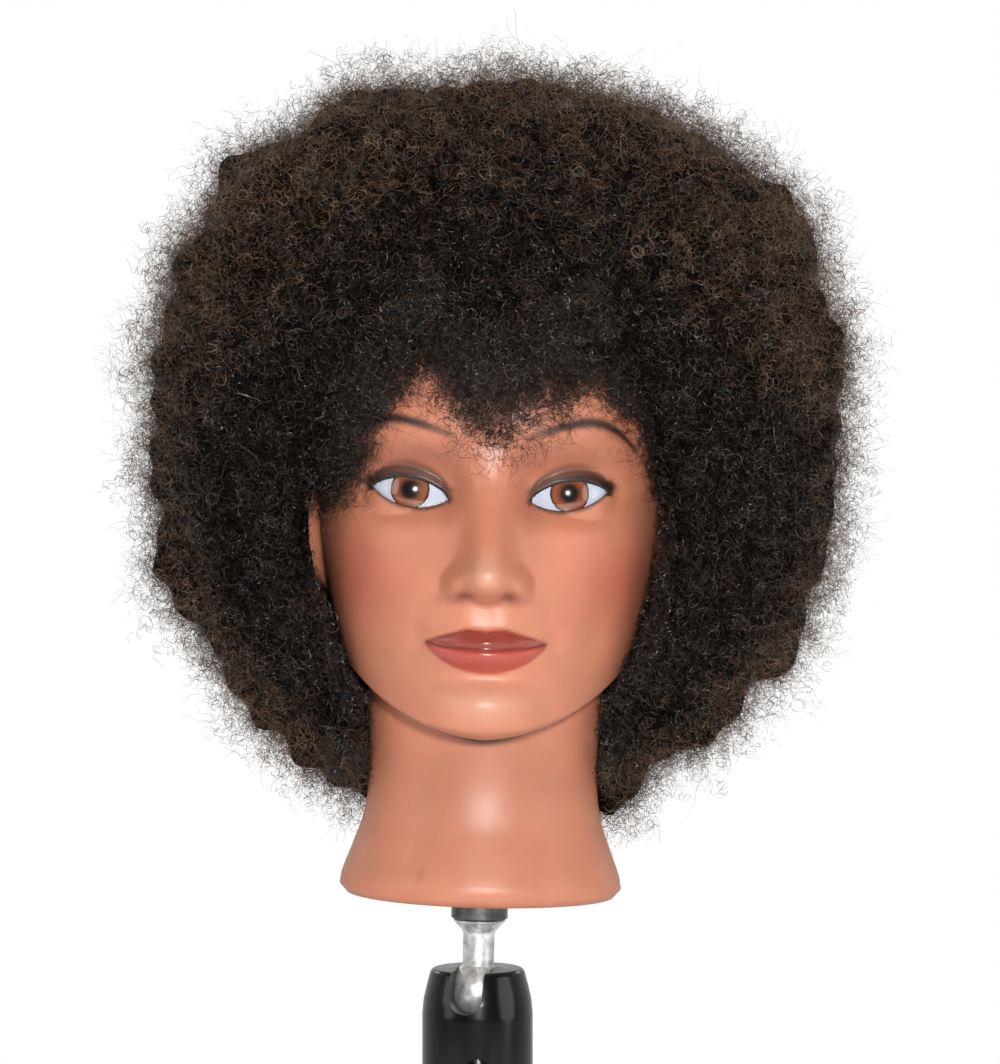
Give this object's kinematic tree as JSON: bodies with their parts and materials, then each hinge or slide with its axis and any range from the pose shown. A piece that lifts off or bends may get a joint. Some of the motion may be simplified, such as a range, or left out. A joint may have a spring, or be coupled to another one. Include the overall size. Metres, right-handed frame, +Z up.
{
  "type": "mannequin training head",
  "caption": "Hairdresser's training head with very full curly hair on a lockable ball-joint peg, carried by a screw clamp for a table edge.",
  "frame": {"origin": "on the clamp's seat, the underside of the rubber pad below the upper jaw, on the socket's vertical axis", "axes": "+Z up along the socket's axis; the face looks along -Y; +X is on the viewer's right when facing the face"},
  "size_m": [0.2996, 0.276, 0.6475],
  "materials": {
    "vinyl": "satin",
    "hair": "matte",
    "eye": "gloss",
    "plug_plastic": "matte",
    "nylon": "satin",
    "shoe_plastic": "satin",
    "chrome": "polished",
    "black_enamel": "gloss",
    "steel": "satin",
    "rubber": "matte",
    "grip": "satin"
  },
  "bodies": {
    "clamp": {"clamp_frame": "black_enamel", "jaw_pad": "rubber", "pivot_bolt": "steel", "bolt_washer": "steel", "friction_washer": "nylon"},
    "socket": {"socket_housing": "black_enamel"},
    "lock": {"cam_shaft": "steel", "cam_cap": "black_enamel", "lock_lever": "steel", "lever_grip": "grip", "lever_nut": "steel"},
    "shoe": {"brake_shoe": "shoe_plastic"},
    "stud": {"ball_stud": "chrome", "peg": "chrome"},
    "sleeve": {"peg_sleeve": "nylon"},
    "head": {"head_skin": "vinyl", "hair": "hair", "eye_left": "eye", "eye_right": "eye", "neck_plug": "plug_plastic"},
    "pad": {"pressure_pad": "steel", "pad_face": "rubber"},
    "screw": {"clamp_screw": "steel"},
    "bar": {"tommy_bar": "steel", "bar_cap_left": "grip", "bar_cap_right": "grip"}
  },
  "joints": [
    {"name": "socket_turn", "type": "hinge", "parent": "clamp", "child": "socket", "pos_m": [0, 0, 0.017], "axis": [0, 0, 1], "continuous": true},
    {"name": "ball_tilt", "type": "hinge", "parent": "socket", "child": "stud", "pos_m": [0, 0, 0.09], "axis": [0.9744, -0.225, 0], "range_deg": [-12, 90]},
    {"name": "head_turn", "type": "hinge", "parent": "stud", "child": "sleeve", "pos_m": [0, 0, 0.09], "axis": [0.0262, 0, 0.9997], "continuous": true},
    {"name": "head_lift", "type": "slide", "parent": "sleeve", "child": "head", "axis": [0.0262, 0, 0.9997], "range_m": [0, 0.06]},
    {"name": "lever_turn", "type": "hinge", "parent": "socket", "child": "lock", "pos_m": [0, 0, 0.056], "axis": [0, -1, 0], "range_deg": [0, 55]},
    {"name": "shoe_travel", "type": "slide", "parent": "socket", "child": "shoe", "axis": [0, 0, -1], "range_m": [0, 0.0012]},
    {"name": "pad_travel", "type": "slide", "parent": "clamp", "child": "pad", "axis": [0, 0, 1], "range_m": [-0.0305, 0.0355]},
    {"name": "screw_turn", "type": "hinge", "parent": "pad", "child": "screw", "pos_m": [0, 0, -0.05], "axis": [0, 0, 1], "range_deg": [-4320, 5040]},
    {"name": "bar_slide", "type": "slide", "parent": "screw", "child": "bar", "axis": [1, 0, 0], "range_m": [-0.028, 0.028]}
  ],
  "couplings": [
    {"joint": "shoe_travel", "follows": "lever_turn", "m_per_rad": 0.0012},
    {"joint": "pad_travel", "follows": "screw_turn", "m_per_rad": 0.00039789}
  ]
}
